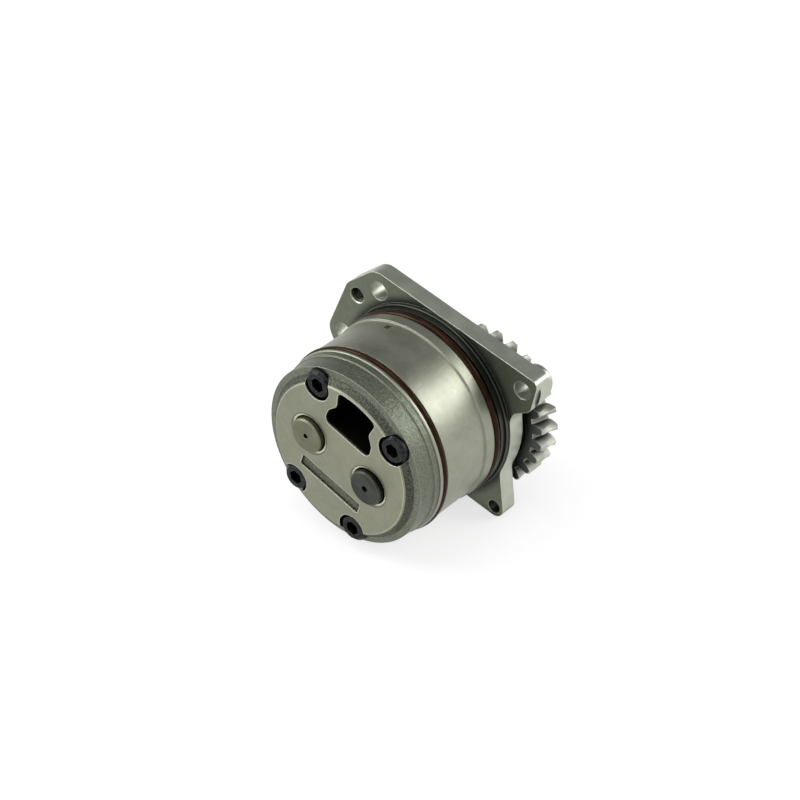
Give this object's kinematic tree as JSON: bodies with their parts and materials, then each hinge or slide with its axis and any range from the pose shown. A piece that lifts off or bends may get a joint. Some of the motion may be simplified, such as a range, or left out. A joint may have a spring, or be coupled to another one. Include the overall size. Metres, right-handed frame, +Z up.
{
  "type": "engine oil pump",
  "caption": "Round flange-mounted spur-gear oil pump with a recessed-screw cast cover, shaped inlet port, two O-rings and a helical drive gear behind the flange.",
  "frame": {"origin": "on the pump axis, the pilot spigot's axis, at the flange's front mounting face", "axes": "+Y along the pump axis from the cover towards the drive gear; +Z up with the gear line clocked 18.7 degrees down to the right, as the pump lies on a bench; +X right seen from the cover"},
  "size_m": [0.113, 0.0951, 0.0964],
  "materials": {
    "cast_body": "turned satin",
    "cast_cover": "ground face, cast sides",
    "black_oxide": "black oxide",
    "ring_rubber": "oiled",
    "pin_steel": "ground",
    "bush_bronze": "bored",
    "shaft_steel": "ground, dark end",
    "idler_steel": "ground",
    "rotor_steel": "ground",
    "gear_steel": "ground teeth"
  },
  "bodies": {
    "housing": {"pump_body": "cast_body", "front_cover": "cast_cover", "cover_screws": "black_oxide", "front_o_ring": "ring_rubber", "rear_o_ring": "ring_rubber", "dowel_pins": "pin_steel", "drive_bush_front": "bush_bronze", "drive_bush_rear": "bush_bronze", "idler_bush_front": "bush_bronze", "idler_bush_rear": "bush_bronze", "gear_thrust_washer": "bush_bronze"},
    "drive": {"drive_shaft": "shaft_steel", "drive_rotor": "rotor_steel", "drive_rotor_key": "pin_steel", "drive_gear": "gear_steel", "drive_gear_key": "pin_steel", "gear_washer": "pin_steel", "gear_nut": "black_oxide"},
    "idler": {"idler_shaft": "idler_steel", "idler_rotor": "rotor_steel", "idler_rotor_key": "pin_steel"}
  },
  "joints": [
    {"name": "drive_spin", "type": "hinge", "parent": "housing", "child": "drive", "pos_m": [0.0161, 0, -0.00545], "axis": [0, 1, 0], "continuous": true},
    {"name": "idler_spin", "type": "hinge", "parent": "housing", "child": "idler", "pos_m": [-0.0161, 0, 0.00545], "axis": [0, 1, 0], "continuous": true}
  ],
  "couplings": [
    {"joint": "idler_spin", "follows": "drive_spin", "ratio": -1}
  ]
}
